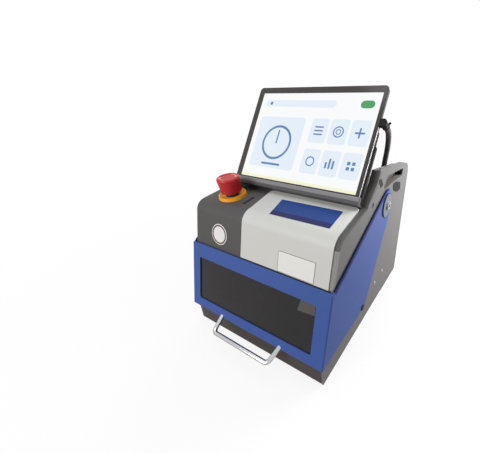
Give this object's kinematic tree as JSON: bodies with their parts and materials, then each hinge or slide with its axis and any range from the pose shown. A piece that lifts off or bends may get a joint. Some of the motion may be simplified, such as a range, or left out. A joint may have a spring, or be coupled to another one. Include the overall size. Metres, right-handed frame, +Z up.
{
  "type": "key cutting machine",
  "caption": "Bench-top automatic key cutting machine with a windowed lifting hood, milling spindle, key clamp on a driven table, tablet panel, stop button and carry grips.",
  "frame": {"origin": "centre of the bounding box's footprint, on the underside of the rubber feet", "axes": "+X to the machine's right as a person at its hood sees it, +Y to its back, +Z up"},
  "size_m": [0.2822, 0.3756, 0.3872],
  "materials": {
    "hood_blue": "satin powder coat, blue",
    "housing_grey": "fine-texture powder coat, dark grey",
    "side_grey": "fine-texture powder coat, mid grey",
    "cover_light": "satin paint, light grey",
    "liner_dark": "moulded, fine grain",
    "window_tint": "tinted acrylic",
    "chrome": "bright plated",
    "steel": "ground",
    "alloy": "machined",
    "cast_bed": "painted casting",
    "black_plastic": "moulded",
    "rubber": "matt",
    "stop_red": "gloss",
    "stop_yellow": "gloss",
    "stop_grey": "moulded",
    "smoke_lens": "smoked",
    "tablet_shell": "blasted and anodised",
    "tablet_front": "dark glass over a lit display",
    "ledge_grey": "satin",
    "motor_black": "semi-gloss",
    "board_green": "solder resist",
    "cutter_steel": "ground tool steel"
  },
  "bodies": {
    "frame": {"base_pan": "housing_grey", "right_side_plate": "side_grey", "left_side_plate": "side_grey", "ear_liners": "liner_dark", "side_plugs": "black_plastic", "panel_screws": "steel", "rubber_feet": "rubber", "top_housing": "housing_grey", "centre_cover": "cover_light", "rear_deck": "housing_grey", "rear_panel": "housing_grey", "fan_frame": "black_plastic", "power_inlet": "black_plastic", "pivot_bolts": "steel", "estop_ring": "stop_yellow", "estop_block": "stop_grey", "status_lens": "smoke_lens", "tablet_body": "tablet_shell", "tablet_glass": "tablet_front", "tablet_holder": "housing_grey", "tablet_ledge": "ledge_grey", "data_cable": "black_plastic", "cable_plug": "black_plastic", "cable_gland": "black_plastic", "machine_bed": "cast_bed", "z_column": "cast_bed", "guide_rails": "steel", "axis_motors": "motor_black", "power_supply": "alloy", "control_board": "board_green"},
    "hood": {"hood_shell": "hood_blue", "hood_window": "window_tint", "hood_handle": "chrome", "hood_bumpers": "rubber", "pivot_caps": "side_grey"},
    "stop_stem": {"estop_stem": "stop_grey"},
    "stop_head": {"estop_head": "stop_red"},
    "slide": {"cross_slide": "alloy", "y_blocks": "steel", "x_rails": "steel", "x_motor": "motor_black"},
    "table": {"key_table": "alloy", "x_blocks": "steel", "jaw_body": "steel"},
    "jaw": {"moving_jaw": "steel"},
    "clamp": {"clamp_screw": "steel"},
    "head": {"head_carriage": "alloy", "z_blocks": "steel", "spindle_housing": "cover_light", "spindle_motor": "motor_black", "drive_belt": "rubber"},
    "spindle": {"spindle_shaft": "steel", "cutter": "cutter_steel", "spindle_pulley": "alloy"},
    "motor_rotor": {"motor_pulley": "alloy"},
    "x_lead": {"x_screw": "steel"},
    "y_lead": {"y_screw": "steel"},
    "z_lead": {"z_screw": "steel"},
    "fan": {"fan_rotor": "black_plastic"},
    "rocker": {"rocker_switch": "stop_red"}
  },
  "joints": [
    {"name": "hood_hinge", "type": "hinge", "parent": "frame", "child": "hood", "pos_m": [0, 0.0518, 0.21103], "axis": [-1, 0, 0], "range_deg": [0, 95]},
    {"name": "stop_press", "type": "slide", "parent": "frame", "child": "stop_stem", "axis": [0, 0.1288, -0.9917], "range_m": [0, 0.004]},
    {"name": "stop_twist", "type": "hinge", "parent": "stop_stem", "child": "stop_head", "pos_m": [-0.087, -0.074, 0.22738], "axis": [0, -0.1288, 0.9917], "range_deg": [0, 30], "stiffness_Nm_per_rad": 0.05},
    {"name": "y_axis", "type": "slide", "parent": "frame", "child": "slide", "axis": [0, 1, 0], "range_m": [-0.012, 0.015]},
    {"name": "x_axis", "type": "slide", "parent": "slide", "child": "table", "axis": [1, 0, 0], "range_m": [-0.05, 0.02]},
    {"name": "z_axis", "type": "slide", "parent": "frame", "child": "head", "axis": [0, 0, 1], "range_m": [0, 0.02]},
    {"name": "y_screw_turn", "type": "hinge", "parent": "frame", "child": "y_lead", "pos_m": [0.02, -0.0272, 0.0205], "axis": [0, 1, 0], "range_deg": [-545, 680]},
    {"name": "x_screw_turn", "type": "hinge", "parent": "slide", "child": "x_lead", "pos_m": [0.12, -0.0902, 0.0405], "axis": [1, 0, 0], "range_deg": [-2255, 905]},
    {"name": "z_screw_turn", "type": "hinge", "parent": "frame", "child": "z_lead", "pos_m": [0.032, -0.0332, 0.18703], "axis": [0, 0, 1], "range_deg": [-5, 905]},
    {"name": "jaw_slide", "type": "slide", "parent": "table", "child": "jaw", "axis": [0, 1, 0], "range_m": [0, 0.006]},
    {"name": "clamp_turn", "type": "hinge", "parent": "table", "child": "clamp", "pos_m": [0.062, -0.1202, 0.067], "axis": [0, 1, 0], "range_deg": [-5, 545]},
    {"name": "spindle_spin", "type": "hinge", "parent": "head", "child": "spindle", "pos_m": [0.062, -0.0902, 0.158], "axis": [0, 0, 1], "continuous": true},
    {"name": "motor_spin", "type": "hinge", "parent": "head", "child": "motor_rotor", "pos_m": [0.004, -0.0902, 0.158], "axis": [0, 0, 1], "continuous": true},
    {"name": "fan_spin", "type": "hinge", "parent": "frame", "child": "fan", "pos_m": [0.06, 0.1758, 0.133], "axis": [0, 1, 0], "continuous": true},
    {"name": "rocker_tip", "type": "hinge", "parent": "frame", "child": "rocker", "pos_m": [-0.078, 0.1798, 0.128], "axis": [1, 0, 0], "range_deg": [0, 20]}
  ],
  "couplings": [
    {"joint": "y_screw_turn", "follows": "y_axis", "rad_per_m": 785.4},
    {"joint": "x_screw_turn", "follows": "x_axis", "rad_per_m": 785.4},
    {"joint": "z_screw_turn", "follows": "z_axis", "rad_per_m": 785.4},
    {"joint": "clamp_turn", "follows": "jaw_slide", "rad_per_m": 1570.8},
    {"joint": "motor_spin", "follows": "spindle_spin", "ratio": 1.5}
  ]
}
